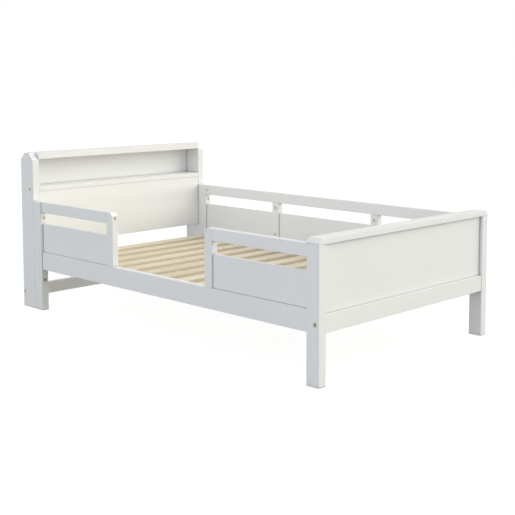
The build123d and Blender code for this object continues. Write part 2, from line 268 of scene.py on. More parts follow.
def distanceFromHeart(tree, local, board, look):
    sideways = stirred(tree, board, look["stirs"]["heartSideways"])
    sideways = calc(tree, "MULTIPLY_ADD", sideways, look["heartSpread"], -look["heartSpread"] / 2)
    near, far = look["heartDepth"]
    depth = stirred(tree, board, look["stirs"]["heartDepth"])
    depth = calc(tree, "MULTIPLY_ADD", depth, far - near, near)
    heart = add(tree, "ShaderNodeCombineXYZ", {"X": 0.0, "Y": sideways, "Z": depth}).outputs[0]
    fromHeart = vectorCalc(tree, "MULTIPLY", vectorCalc(tree, "ADD", local, heart), (0.0, 1.0, 1.0))
    return add(tree, "ShaderNodeVectorMath", {0: fromHeart}, operation="LENGTH").outputs["Value"]


def makePine(name, look):
    material, tree, shader = startMaterial(name)
    local, half, board = boardCoordinates(tree)
    place = shiftedBy(tree, local, board, look["shift"])
    radius = distanceFromHeart(tree, local, board, look)
    drift = noise(tree, vectorCalc(tree, "MULTIPLY", place, look["wanderStretch"]), 1.0, detail=3.0)
    radius = calc(tree, "MULTIPLY_ADD", drift, look["wander"], radius)
    # knots push the rings aside
    knotPlace = vectorCalc(tree, "MULTIPLY", place, look["knotStretch"])
    cells = add(tree, "ShaderNodeTexVoronoi", {"Vector": knotPlace, "Scale": 1.0})
    pick = add(tree, "ShaderNodeSeparateXYZ", {0: cells.outputs["Color"]}).outputs[0]
    chosen = remap(tree, pick, *look["knotRarity"])
    away = cells.outputs["Distance"]
    push = remap(tree, away, look["pushReach"] * look["knotSize"], 0.0)
    push = calc(tree, "MULTIPLY", push, chosen)
    radius = calc(tree, "MULTIPLY_ADD", push, look["pushRings"] * look["ringWidth"], radius)
    year = calc(tree, "FRACT", calc(tree, "DIVIDE", radius, look["ringWidth"]))
    lateWood = calc(tree, "MULTIPLY", remap(tree, year, *look["ringRise"]),
                    remap(tree, year, *look["ringFall"]))
    fibre = noise(tree, vectorCalc(tree, "MULTIPLY", place, look["fibreStretch"]), 1.0, detail=3.0)
    patch = noise(tree, vectorCalc(tree, "MULTIPLY", place, look["patchStretch"]), 1.0)
    heartwood = remap(tree, patch, *look["heartPatches"], 0.0, look["heartShare"])
    colour = blendColour(tree, heartwood, solid(look["early"]), solid(look["heart"]))
    rings = calc(tree, "MULTIPLY", lateWood,
                 remap(tree, patch, *look["ringPatches"], *look["ringShare"]))
    colour = blendColour(tree, rings, colour, solid(look["late"]))
    outer, inner = (share * look["knotSize"] for share in look["knotEdge"])
    knot = calc(tree, "MULTIPLY", remap(tree, away, outer, inner), chosen)
    knot = calc(tree, "MULTIPLY", knot, look["knotShare"])
    colour = blendColour(tree, knot, colour, solid(look["knot"]))
    light = calc(tree, "MULTIPLY_ADD", stirred(tree, board, look["stirs"]["tone"]),
                 look["boardTone"], 1.0 - (look["boardTone"] + look["fibreTone"]) / 2)
    light = calc(tree, "MULTIPLY_ADD", fibre, look["fibreTone"], light)
    # end grain drinks in the dirt
    ends = calc(tree, "SUBTRACT",
                add(tree, "ShaderNodeSeparateXYZ", {0: half}).outputs[0],
                calc(tree, "ABSOLUTE", add(tree, "ShaderNodeSeparateXYZ", {0: local}).outputs[0]))
    endLight = remap(tree, ends, 0.0, look["endReach"], look["endTone"], 1.0)
    colour = shaded(tree, colour, calc(tree, "MULTIPLY", light, endLight))
    arris = distanceToArris(tree, local, half)
    arris = remap(tree, arris, look["arrisWidth"], 0.0, 0.0, look["arrisShare"])
    colour = blendColour(tree, arris, colour, solid(look["late"]))
    smooth, rough = look["roughness"]
    roughness = remap(tree, fibre, *look["fibreRange"], rough, smooth)
    height = calc(tree, "MULTIPLY", lateWood, look["ringHeight"])
    height = calc(tree, "MULTIPLY_ADD", fibre, look["fibreHeight"], height)
    finishMaterial(tree, shader, colour, roughness, height)
    return material


# Metal: bright plating on the bolts and screws, a duller casting for the cams.
zincLook = {
    "bright": (0.800, 0.715, 0.520),
    "dull": (0.620, 0.550, 0.400),
    "patchScale": 700.0,
    "dullPatches": (0.35, 0.70),
    "sheenRange": (0.30, 0.75),
    "grainScale": 4200.0,
    "grainHeight": 0.0000035,
    "metallic": 1.0,
    "roughness": (0.24, 0.42),
}
castLook = {
    **zincLook,
    "bright": (0.560, 0.560, 0.560),
    "dull": (0.360, 0.360, 0.370),
    "patchScale": 450.0,
    "grainScale": 2400.0,
    "grainHeight": 0.000012,
    "roughness": (0.42, 0.62),
}


def makeMetal(name, look):
    material, tree, shader = startMaterial(name)
    place = add(tree, "ShaderNodeTexCoord").outputs["Object"]
    patch = noise(tree, place, look["patchScale"], detail=4.0, roughness=0.6)
    grain = noise(tree, place, look["grainScale"])
    colour = blendColour(tree, remap(tree, patch, *look["dullPatches"]), solid(look["bright"]),
                         solid(look["dull"]))
    roughness = remap(tree, patch, *look["sheenRange"], *look["roughness"])
    height = calc(tree, "MULTIPLY", grain, look["grainHeight"])
    shader.inputs["Metallic"].default_value = look["metallic"]
    finishMaterial(tree, shader, colour, roughness, height)
    return material


# Beech dowels, with their short dark flecks.
beechLook = {
    "pale": (0.700, 0.520, 0.340),
    "fleck": (0.520, 0.340, 0.195),
    "fleckScale": 1500.0,
    "flecks": (0.52, 0.66),
    "fleckRange": (0.3, 0.7),
    "toneScale": 160.0,
    "toneRange": (0.3, 0.7),
    "tone": (0.9, 1.06),
    "fleckHeight": 0.00002,
    "roughness": (0.50, 0.66),
}


def makeBeech(name, look):
    material, tree, shader = startMaterial(name)
    place = add(tree, "ShaderNodeTexCoord").outputs["Object"]
    fleck = noise(tree, place, look["fleckScale"], detail=3.0, roughness=0.7)
    tone = noise(tree, place, look["toneScale"])
    colour = blendColour(tree, remap(tree, fleck, *look["flecks"]), solid(look["pale"]),
                         solid(look["fleck"]))
    colour = shaded(tree, colour, remap(tree, tone, *look["toneRange"], *look["tone"]))
    roughness = remap(tree, fleck, *look["fleckRange"], *look["roughness"])
    height = calc(tree, "MULTIPLY", fleck, look["fleckHeight"])
    finishMaterial(tree, shader, colour, roughness, height)
    return material


whitePaint = makePaint("whitePaint", paintLook)
backBoardPaint = makePaint("backBoardPaint", {
    **paintLook,
    "grainTone": 0.004,
    "grainHeight": 0.000004,
    "rollerHeight": 0.000020,
    "roughness": (0.42, 0.55),
})
pine = makePine("pine", pineLook)
zinc = makeMetal("zinc", zincLook)
castZinc = makeMetal("castZinc", castLook)
beech = makeBeech("beech", beechLook)
print("materials made:", len(bpy.data.materials))


# Every finished piece goes through here: it moves with the bed and stands for its CAD nodes.
def settle(piece, nodes):
    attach(piece, "root")
    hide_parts(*nodes)
    return piece


def camelName(node):
    first, *rest = node.split("_")
    return first + "".join(word.capitalize() for word in rest)


def softenFaces(mesh, degrees):
    mesh.polygons.foreach_set("use_smooth", [True] * len(mesh.polygons))
    mesh.set_sharp_from_angle(angle=math.radians(degrees))


def evaluated(piece):
    # the modifiers' result as a plain mesh
    graph = bpy.context.evaluated_depsgraph_get()
    source = piece.evaluated_get(graph)
    mesh = bpy.data.meshes.new_from_object(source, preserve_all_data_layers=True, depsgraph=graph)
    piece.modifiers.clear()
    piece.data = mesh
    return mesh


def storeVectors(mesh, name, values):
    attribute = mesh.attributes.new(name, "FLOAT_VECTOR", "POINT")
    attribute.data.foreach_set("vector", [number for value in values for number in value])


def storeNumber(mesh, name, value):
    attribute = mesh.attributes.new(name, "FLOAT", "POINT")
    attribute.data.foreach_set("value", [value] * len(mesh.vertices))


# Boards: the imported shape, welded, with its sharp ends and the rims of its holes eased.
boardSettings = {
    "easing": 0.00045,
    "easingSteps": 2,
    "easedAngle": 30.0,
    "sharpAngle": 50.0,
    "flatAngle": 0.6,
    "onFace": 0.00002,
    "seed": 41,
}
boardRandom = random.Random(boardSettings["seed"])


def weldTriangles(work):
    # bevels and cuts leave points in the same place, and the faces between them enclose nothing
    bmesh.ops.triangulate(work, faces=work.faces)
    bmesh.ops.remove_doubles(work, verts=work.verts, dist=weldDistance)


def outerFacesOf(vertex, low, high, slack):
    faces = set()
    for axis in range(3):
        if vertex.co[axis] < low[axis] + slack:
            faces.add((axis, 0))
        if vertex.co[axis] > high[axis] - slack:
            faces.add((axis, 1))
    return faces


def easeEdges(work, low, high):
    settings = boardSettings
    sharp = math.radians(settings["easedAngle"])
    chosen = []
    for edge in work.edges:
        if not edge.is_manifold or edge.calc_face_angle() < sharp:
            continue
        first, second = (outerFacesOf(v, low, high, settings["onFace"]) for v in edge.verts)
        if first & second:
            chosen.append(edge)
    bmesh.ops.bevel(work, geom=chosen, offset=settings["easing"], offset_type="OFFSET",
                    segments=settings["easingSteps"], profile=0.5, affect="EDGES",
                    clamp_overlap=False)


def makeBoard(node, material):
    low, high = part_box(node)
    work = bmesh.new()
    work.from_mesh(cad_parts[node].data)
    bmesh.ops.remove_doubles(work, verts=work.verts, dist=weldDistance)
    bmesh.ops.dissolve_limit(work, angle_limit=math.radians(boardSettings["flatAngle"]),
                             verts=work.verts, edges=work.edges)
    easeEdges(work, low, high)
    weldTriangles(work)
    # only the shape is kept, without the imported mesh's own normals
    clean = bmesh.new()
    made = {v: clean.verts.new(v.co) for v in work.verts}
    for face in work.faces:
        clean.faces.new([made[v] for v in face.verts])
    mesh = bpy.data.meshes.new(camelName(node))
    clean.to_mesh(mesh)
    clean.free()
    work.free()
    mesh.materials.append(material)
    softenFaces(mesh, boardSettings["sharpAngle"])
    piece = bpy.data.objects.new(camelName(node), mesh)
    collection.objects.link(piece)
    piece.modifiers.new("flatFaces", "WEIGHTED_NORMAL").keep_sharp = True
    mesh = evaluated(piece)
    # the grain runs the long way, and the shortest way is through the board
    middle = (low + high) / 2
    size = high - low
    order = sorted(range(3), key=lambda axis: -size[axis])
    storeVectors(mesh, "local", [[(v.co - middle)[axis] for axis in order] for v in mesh.vertices])
    half = [size[axis] / 2 for axis in order]
    storeVectors(mesh, "half", [half] * len(mesh.vertices))
    storeNumber(mesh, "board", boardRandom.random())
    return settle(piece, [node])


paintedNodes = [
    "headboard_side_near", "headboard_side_far", "head_post_near", "head_post_far",
    "headboard_top_board", "headboard_shelf", "headboard_lower_panel", "headboard_stretcher",
    "foot_leg_near", "foot_leg_far", "footboard_panel", "footboard_bottom_rail", "footboard_cap",
    "side_rail_near", "side_rail_far",
    "head_guard_stile", "head_guard_top_rail", "head_guard_panel",
    "foot_guard_stile", "foot_guard_top_rail", "foot_guard_panel",
    "far_guard_top_rail", "far_guard_post_head", "far_guard_post_foot",
    "far_guard_panel_head", "far_guard_panel_middle", "far_guard_panel_foot",
]
boardFinishes = {
    **{node: (whitePaint, "white_painted_wood") for node in paintedNodes},
    "cubby_back_panel": (backBoardPaint, "painted_back_board"),
    "slat_ledger_near": (pine, "pine_ledger"),
    "slat_ledger_far": (pine, "pine_ledger"),
}
for node, (material, slotName) in boardFinishes.items():
    makeBoard(node, material)
print("boards made:", len(boardFinishes))


# Geometry Nodes trees: named inputs first, then the nodes.
socketKinds = {int: "NodeSocketInt", float: "NodeSocketFloat", tuple: "NodeSocketVector"}


def startTree(name, inputs):
    tree = bpy.data.node_groups.new(name, "GeometryNodeTree")
    face = tree.interface
    face.new_socket("Geometry", in_out="INPUT", socket_type="NodeSocketGeometry")
    face.new_socket("Material", in_out="INPUT", socket_type="NodeSocketMaterial")
    for label, value in inputs.items():
        socket = face.new_socket(label, in_out="INPUT", socket_type=socketKinds[type(value)])
        socket.default_value = value
    face.new_socket("Geometry", in_out="OUTPUT", socket_type="NodeSocketGeometry")
    return tree, add(tree, "NodeGroupInput").outputs


def finishTree(tree, geometry, given):
    real = add(tree, "GeometryNodeRealizeInstances", {"Geometry": geometry}).outputs[0]
    painted = add(tree, "GeometryNodeSetMaterial", {"Geometry": real, "Material": given["Material"]})
    add(tree, "NodeGroupOutput", {"Geometry": painted.outputs[0]})


def addTree(piece, tree, values):
    modifier = piece.modifiers.new(tree.name, "NODES")
    modifier.node_group = tree
    for item in tree.interface.items_tree:
        if item.in_out == "INPUT" and item.name in values:
            modifier[item.identifier] = values[item.name]
    return modifier


def xyz(tree, x=0.0, y=0.0, z=0.0):
    return add(tree, "ShaderNodeCombineXYZ", {"X": x, "Y": y, "Z": z}).outputs[0]


def storeField(tree, geometry, name, value, kind, domain="POINT"):
    inputs = {"Geometry": geometry, "Name": name, "Value": value}
    node = add(tree, "GeometryNodeStoreNamedAttribute", inputs, data_type=kind, domain=domain)
    return node.outputs[0]


def negative(tree, value):
    return calc(tree, "MULTIPLY", value, -1.0)


def randomBetween(tree, least, most, seed):
    inputs = {2: least, 3: most, "Seed": seed}
    return add(tree, "FunctionNodeRandomValue", inputs, data_type="FLOAT").outputs[1]


# Slats: one blank with countersunk holes, eased, then repeated down the bed.
slatNodes = sorted(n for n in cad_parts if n.startswith("slat_") and n[5:].isdigit())
firstLow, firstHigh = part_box(slatNodes[0])
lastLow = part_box(slatNodes[-1])[0]
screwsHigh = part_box("slat_screws")[1]
slatSettings = {
    "Width": firstHigh.x - firstLow.x,
    "Length": firstHigh.y - firstLow.y,
    "Thickness": firstHigh.z - firstLow.z,
    "Count": len(slatNodes),
    "Pitch": (lastLow.x - firstLow.x) / (len(slatNodes) - 1),
    "Start": tuple((firstLow + firstHigh) / 2),
    "Screw Reach": screwsHigh.y,
    "Head Radius": 0.0040,
    "Head Depth": 0.0030,
    "Head Play": 0.0002,
    "Hole Radius": 0.0021,
    "Hole Sides": 24,
    "Turn": math.radians(0.02),
    "Slide": 0.00015,
    "Seed": 5,
}
slatArris = {"width": 0.0022, "steps": 3, "angle": 50.0}


def slatInputs(*names):
    return {name: slatSettings[name] for name in names}


def makeSlatBlankTree():
    tree, given = startTree("slatBlank", slatInputs(
        "Width", "Length", "Thickness", "Screw Reach", "Head Radius", "Head Depth", "Head Play",
        "Hole Radius", "Hole Sides"))
    size = xyz(tree, given["Width"], given["Length"], given["Thickness"])
    blank = add(tree, "GeometryNodeMeshCube", {"Size": size}).outputs["Mesh"]
    headRadius = calc(tree, "ADD", given["Head Radius"], given["Head Play"])
    cone = add(tree, "GeometryNodeMeshCone", {
        "Vertices": given["Hole Sides"], "Radius Top": headRadius,
        "Radius Bottom": given["Hole Radius"], "Depth": given["Head Depth"],
    }).outputs["Mesh"]
    shank = add(tree, "GeometryNodeMeshCylinder", {
        "Vertices": given["Hole Sides"], "Radius": given["Hole Radius"],
        "Depth": calc(tree, "MULTIPLY", given["Thickness"], 2.0),
    }).outputs["Mesh"]
    top = calc(tree, "MULTIPLY", given["Thickness"], 0.5)
    coneZ = calc(tree, "SUBTRACT", top, given["Head Depth"])
    cone = add(tree, "GeometryNodeTransform", {
        "Geometry": cone, "Translation": xyz(tree, z=calc(tree, "ADD", coneZ, given["Head Play"])),
    }).outputs[0]
    inset = calc(tree, "SUBTRACT", given["Screw Reach"], given["Head Radius"])
    holed = blank
    for way in (-1.0, 1.0):
        across = xyz(tree, y=calc(tree, "MULTIPLY", inset, way))
        for cutter in (cone, shank):
            moved = add(tree, "GeometryNodeTransform", {"Geometry": cutter, "Translation": across})
            cut = add(tree, "GeometryNodeMeshBoolean", operation="DIFFERENCE", solver="EXACT")
            tree.links.new(holed, cut.inputs["Mesh 1"])
            tree.links.new(moved.outputs[0], cut.inputs["Mesh 2"])
            holed = cut.outputs["Mesh"]
    finishTree(tree, holed, given)
    return tree


def makeSlatRowTree():
    tree, given = startTree("slatRow", slatInputs(
        "Width", "Length", "Thickness", "Count", "Pitch", "Start", "Turn", "Slide", "Seed"))
    place = add(tree, "GeometryNodeInputPosition").outputs[0]
    parts = add(tree, "ShaderNodeSeparateXYZ", {0: place}).outputs
    along = xyz(tree, parts[1], parts[0], parts[2])
    blank = storeField(tree, given["Geometry"], "local", along, "FLOAT_VECTOR")
    halves = [calc(tree, "MULTIPLY", given[n], 0.5) for n in ("Length", "Width", "Thickness")]
    blank = storeField(tree, blank, "half", xyz(tree, *halves), "FLOAT_VECTOR")
    row = add(tree, "GeometryNodeMeshLine", {
        "Count": given["Count"], "Start Location": given["Start"],
        "Offset": xyz(tree, x=given["Pitch"]),
    }).outputs[0]
    nextSeed = calc(tree, "ADD", given["Seed"], 1.0)
    lastSeed = calc(tree, "ADD", given["Seed"], 2.0)
    turn = randomBetween(tree, negative(tree, given["Turn"]), given["Turn"], given["Seed"])
    slide = randomBetween(tree, negative(tree, given["Slide"]), given["Slide"], nextSeed)
    row = add(tree, "GeometryNodeSetPosition", {"Geometry": row, "Offset": xyz(tree, x=slide)})
    slats = add(tree, "GeometryNodeInstanceOnPoints", {
        "Points": row.outputs[0], "Instance": blank, "Rotation": xyz(tree, z=turn),
    }).outputs[0]
    own = randomBetween(tree, 0.0, 1.0, lastSeed)
    slats = storeField(tree, slats, "board", own, "FLOAT", "INSTANCE")
    finishTree(tree, slats, given)
    return tree


def makeSlats():
    values = {**slatSettings, "Material": pine}
    piece = bpy.data.objects.new("slats", bpy.data.meshes.new("slats"))
    collection.objects.link(piece)
    addTree(piece, makeSlatBlankTree(), values)
    easing = piece.modifiers.new("arris", "BEVEL")
    easing.width = slatArris["width"]
    easing.segments = slatArris["steps"]
    easing.limit_method = "ANGLE"
    easing.angle_limit = math.radians(slatArris["angle"])
    addTree(piece, makeSlatRowTree(), values)
    mesh = evaluated(piece)
    softenFaces(mesh, slatArris["angle"])
    piece.modifiers.new("flatFaces", "WEIGHTED_NORMAL").keep_sharp = True
    evaluated(piece)
    return settle(piece, slatNodes)


makeSlats()
print("slats laid:", slatSettings["Count"])


# Where each fitting of a group is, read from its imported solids: its mouth and the way it points.
findSettings = {
    "endShare": 0.1,
    "sameSpread": 1e-5,
    "leastSideways": 0.1,
    "sortDigits": 4,
    "pastBoltEnd": 0.006,
    "besideBolt": 0.0075,
    "offBoltLine": 0.002,
    "deepestCross": 0.02,
}


def islandsOf(node):
    work = bmesh.new()
    work.from_mesh(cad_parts[node].data)
    bmesh.ops.remove_doubles(work, verts=work.verts, dist=weldDistance)
    left = set(work.verts)
    islands = []
    while left:
        found = [left.pop()]
        for vertex in found:
            for edge in vertex.link_edges:
                other = edge.other_vert(vertex)
                if other in left:
                    left.remove(other)
                    found.append(other)
        islands.append([v.co.copy() for v in found])
    work.free()
    return islands


def fittingFrom(points):
    low = Vector([min(p[k] for p in points) for k in range(3)])
    high = Vector([max(p[k] for p in points) for k in range(3)])
    size = high - low
    # a round piece is equally wide both ways across its axis
    axis = min(range(3), key=lambda k: abs(size[(k + 1) % 3] - size[(k + 2) % 3]))
    middle = (low + high) / 2
    slack = findSettings["endShare"] * size[axis]

    def spreadNear(end):
        ring = [p for p in points if abs(p[axis] - end) < slack]
        return max((math.hypot(*[(p - middle)[k] for k in range(3) if k != axis]) for p in ring),
                   default=0.0)

    direction = Vector((0.0, 0.0, 0.0))
    bigEndLow = spreadNear(low[axis]) >= spreadNear(high[axis]) - findSettings["sameSpread"]
    direction[axis] = 1.0 if bigEndLow else -1.0
    return {"low": low, "high": high, "middle": middle, "axis": axis, "direction": direction}


def mouthOf(fitting):
    mouth = fitting["middle"].copy()
    axis = fitting["axis"]
    edge = fitting["low"] if fitting["direction"][axis] > 0 else fitting["high"]
    mouth[axis] = edge[axis]
    return mouth


def turnOf(direction, sideways):
    z = direction.normalized()
    x = sideways - z * sideways.dot(z)
    if x.length < findSettings["leastSideways"]:
        x = z.orthogonal()
    x.normalize()
    y = z.cross(x)
    return Matrix((x, y, z)).transposed().to_euler()


def fittingsOf(node):
    digits = findSettings["sortDigits"]
    found = [fittingFrom(points) for points in islandsOf(node)]
    return sorted(found, key=lambda f: tuple(round(c, digits) for c in f["middle"]))


socketBoltNodes = ("post_bolts", "foot_rail_bolts", "guard_stile_bolts", "guard_base_bolts",
                   "guard_post_bolts")
boltGroups = (*socketBoltNodes, "guard_rail_studs", "cam_pins")
boltLines = [fitting for node in boltGroups for fitting in fittingsOf(node)]


def pointOutOfWood(fitting):
    # nuts and cams are let in from the inside of the bed, or from the back and from below
    direction = Vector((0.0, 0.0, 0.0))
    axis = fitting["axis"]
    outward = math.copysign(1.0, fitting["middle"].y)
    direction[axis] = outward if axis == 1 else 1.0
    fitting["direction"] = direction


def reachOf(line):
    axis = line["axis"]
    return (line["high"] - line["low"])[axis] / 2 + findSettings["pastBoltEnd"]


def boltThrough(fitting):
    # the bolt or pin that a nut holds
    for line in boltLines:
        away = fitting["middle"] - line["middle"]
        axis = line["axis"]
        beside = max(abs(away[k]) for k in range(3) if k != axis)
        crosses = axis != fitting["axis"] and beside < findSettings["besideBolt"]
        if crosses and abs(away[axis]) < reachOf(line):
            return line["direction"]
    return Vector((0.0, 0.0, 1.0))


def boltDepth(fitting):
    # how far in from the mouth the bolt crosses a nut
    for line in boltLines:
        away = line["middle"] - mouthOf(fitting)
        axis = fitting["axis"]
        side = line["axis"]
        if side == axis:
            continue
        other = 3 - axis - side
        if abs(away[other]) < findSettings["offBoltLine"] and abs(away[side]) < reachOf(line):
            depth = away[axis] * fitting["direction"][axis]
            if 0.0 < depth < findSettings["deepestCross"]:
                return depth
    return (fitting["high"] - fitting["low"])[fitting["axis"]] / 2


def stationsObject(name, fittings, sidewaysOf):
    mesh = bpy.data.meshes.new(name)
    mesh.from_pydata([mouthOf(f) for f in fittings], [], [])
    turns = [turnOf(f["direction"], sidewaysOf(f)) for f in fittings]
    storeVectors(mesh, "turn", [tuple(t) for t in turns])
    piece = bpy.data.objects.new(name, mesh)
    collection.objects.link(piece)
    return piece


# One turned body: its head is three rings, and then come the crests and roots of the thread.
turnedSettings = {
    "headRings": 3,
    "shoulder": 0.00001,    # from the head's last ring to the shank's first
    "boltSides": 24,
    "nutSides": 32,
    "cutterPlay": 0.0002,
    "boreSides": 24,
    "boreLength": 0.04,
    "smoothAngle": 34.0,
    "lean": 0.01,
    "seed": 17,
}


def turnedBody(tree, given, sides):
    headRings = turnedSettings["headRings"]
    shank = calc(tree, "SUBTRACT", given["Length"], given["Head Depth"])
    halfTurns = calc(tree, "DIVIDE", shank, calc(tree, "MULTIPLY", given["Pitch"], 0.5))
    count = calc(tree, "ADD", calc(tree, "FLOOR", halfTurns), headRings + 1.0)
    rings = add(tree, "GeometryNodeMeshLine", {"Count": count})
    index = add(tree, "GeometryNodeInputIndex").outputs[0]
    past = calc(tree, "SUBTRACT", index, headRings)
    step = calc(tree, "DIVIDE", shank, calc(tree, "SUBTRACT", count, headRings + 1.0))
    shankZ = calc(tree, "MULTIPLY_ADD", past, step, given["Head Depth"])
    headZ = add(tree, "GeometryNodeIndexSwitch", {"Index": index, 1: 0.0}, data_type="FLOAT")
    headZ.index_switch_items.new()
    tree.links.new(given["Rim"], headZ.inputs[2])
    neckZ = calc(tree, "SUBTRACT", given["Head Depth"], turnedSettings["shoulder"])
    tree.links.new(neckZ, headZ.inputs[3])
    headRadius = add(tree, "GeometryNodeIndexSwitch", {"Index": index}, data_type="FLOAT")
    headRadius.index_switch_items.new()
    tree.links.new(calc(tree, "SUBTRACT", given["Head Radius"], given["Rim"]), headRadius.inputs[1])
    tree.links.new(given["Head Radius"], headRadius.inputs[2])
    tree.links.new(given["Neck Radius"], headRadius.inputs[3])
    inHead = calc(tree, "LESS_THAN", index, headRings - 0.5)
    odd = calc(tree, "MODULO", index, 2.0)
    thread = calc(tree, "SUBTRACT", given["Shank Radius"],
                  calc(tree, "MULTIPLY", odd, given["Thread Depth"]))
    tip = remap(tree, shankZ, given["Length"],
                calc(tree, "SUBTRACT", given["Length"], given["Tip Length"]))
    tip = calc(tree, "MULTIPLY_ADD", tip, calc(tree, "SUBTRACT", 1.0, given["Tip"]), given["Tip"])
    thread = calc(tree, "MULTIPLY", thread, tip)

    def either(head, shank):
        node = add(tree, "GeometryNodeSwitch", {"Switch": inHead, "False": shank, "True": head},
                   input_type="FLOAT")
        return node.outputs[0]

    station = either(headZ.outputs[0], shankZ)
    radius = either(headRadius.outputs[0], thread)
    placed = add(tree, "GeometryNodeSetPosition", {
        "Geometry": rings.outputs[0], "Position": xyz(tree, z=station),
    }).outputs[0]
    axis = add(tree, "GeometryNodeMeshToCurve", {"Mesh": placed}).outputs[0]
    outline = add(tree, "GeometryNodeCurvePrimitiveCircle", {"Resolution": sides, "Radius": 1.0})
    body = add(tree, "GeometryNodeCurveToMesh", {
        "Curve": axis, "Profile Curve": outline.outputs[0], "Scale": radius, "Fill Caps": True,
    })
    return body.outputs[0]


def starCutter(tree, given):
    # a hexagon socket or a cross recess, narrowing inwards
    line = add(tree, "GeometryNodeCurvePrimitiveLine", {
        "Start": (0.0, 0.0, -turnedSettings["cutterPlay"]),
        "End": xyz(tree, z=given["Recess Depth"]),
    }).outputs[0]
    star = add(tree, "GeometryNodeCurveStar", {
        "Points": given["Recess Points"], "Inner Radius": given["Recess Inner"],
        "Outer Radius": given["Recess Outer"],
    }).outputs[0]
    factor = add(tree, "GeometryNodeSplineParameter").outputs["Factor"]
    narrowing = calc(tree, "SUBTRACT", 1.0, calc(tree, "MULTIPLY", factor, given["Recess Taper"]))
    return add(tree, "GeometryNodeCurveToMesh", {
        "Curve": line, "Profile Curve": star, "Scale": narrowing, "Fill Caps": True,
    }).outputs[0]


def cutFrom(tree, body, cutter):
    node = add(tree, "GeometryNodeMeshBoolean", operation="DIFFERENCE", solver="EXACT")
    tree.links.new(body, node.inputs["Mesh 1"])
    tree.links.new(cutter, node.inputs["Mesh 2"])
    return node.outputs["Mesh"]


def repeatAtStations(tree, given, body):
    turn = add(tree, "GeometryNodeInputNamedAttribute", {"Name": "turn"}, data_type="FLOAT_VECTOR")
    rotation = add(tree, "FunctionNodeEulerToRotation", {"Euler": turn.outputs[0]}).outputs[0]
    copies = add(tree, "GeometryNodeInstanceOnPoints", {
        "Points": given["Geometry"], "Instance": body, "Rotation": rotation,
    }).outputs[0]
    finishTree(tree, copies, given)


boltInputs = {
    "Head Radius": 0.0065, "Head Depth": 0.0035, "Rim": 0.0004, "Neck Radius": 0.0065,
    "Shank Radius": 0.003, "Length": 0.05, "Pitch": 0.001, "Thread Depth": 0.0004,
    "Tip": 0.8, "Tip Length": 0.001, "Recess Points": 6, "Recess Inner": 0.0021,
    "Recess Outer": 0.0024, "Recess Depth": 0.0022, "Recess Taper": 0.0,
}


def makeBoltTree():
    tree, given = startTree("boltRow", boltInputs)
    body = turnedBody(tree, given, turnedSettings["boltSides"])
    repeatAtStations(tree, given, cutFrom(tree, body, starCutter(tree, given)))
    return tree


def makeRodTree():
    tree, given = startTree("rodRow", boltInputs)
    repeatAtStations(tree, given, turnedBody(tree, given, turnedSettings["boltSides"]))
    return tree


def makeNutTree():
    tree, given = startTree("nutRow", {
        **boltInputs, "Cross Radius": 0.0029, "Cross Depth": 0.008,
    })
    body = turnedBody(tree, given, turnedSettings["nutSides"])
    body = cutFrom(tree, body, starCutter(tree, given))
    bore = add(tree, "GeometryNodeMeshCylinder", {
        "Vertices": turnedSettings["boreSides"], "Radius": given["Cross Radius"],
        "Depth": turnedSettings["boreLength"],
    }).outputs["Mesh"]
    bore = add(tree, "GeometryNodeTransform", {
        "Geometry": bore, "Rotation": (0.0, math.radians(90.0), 0.0),
        "Translation": xyz(tree, z=given["Cross Depth"]),
    }).outputs[0]
    repeatAtStations(tree, given, cutFrom(tree, body, bore))
    return tree


def makeDowelTree():
    tree, given = startTree("dowelRow", {
        "Radius": 0.004, "Length": 0.03, "Flutes": 16, "Flute Share": 0.93, "Chamfer": 0.0012,
        "Tip Share": 0.78,
    })
    ends = {"Start": (0.0, 0.0, 0.0), "End": xyz(tree, z=given["Length"])}
    line = add(tree, "GeometryNodeCurvePrimitiveLine", ends).outputs[0]
    line = add(tree, "GeometryNodeResampleCurve", {
        "Curve": line, "Length": given["Chamfer"],
    }, mode="LENGTH").outputs[0]
    along = add(tree, "GeometryNodeSplineParameter").outputs["Length"]
    fromEnd = calc(tree, "MINIMUM", along, calc(tree, "SUBTRACT", given["Length"], along))
    taper = remap(tree, fromEnd, 0.0, given["Chamfer"], given["Tip Share"])
    star = add(tree, "GeometryNodeCurveStar", {
        "Points": given["Flutes"], "Outer Radius": given["Radius"],
        "Inner Radius": calc(tree, "MULTIPLY", given["Radius"], given["Flute Share"]),
    }).outputs[0]
    body = add(tree, "GeometryNodeCurveToMesh", {
        "Curve": line, "Profile Curve": star, "Scale": taper, "Fill Caps": True,
    }).outputs[0]
    repeatAtStations(tree, given, body)
    return tree


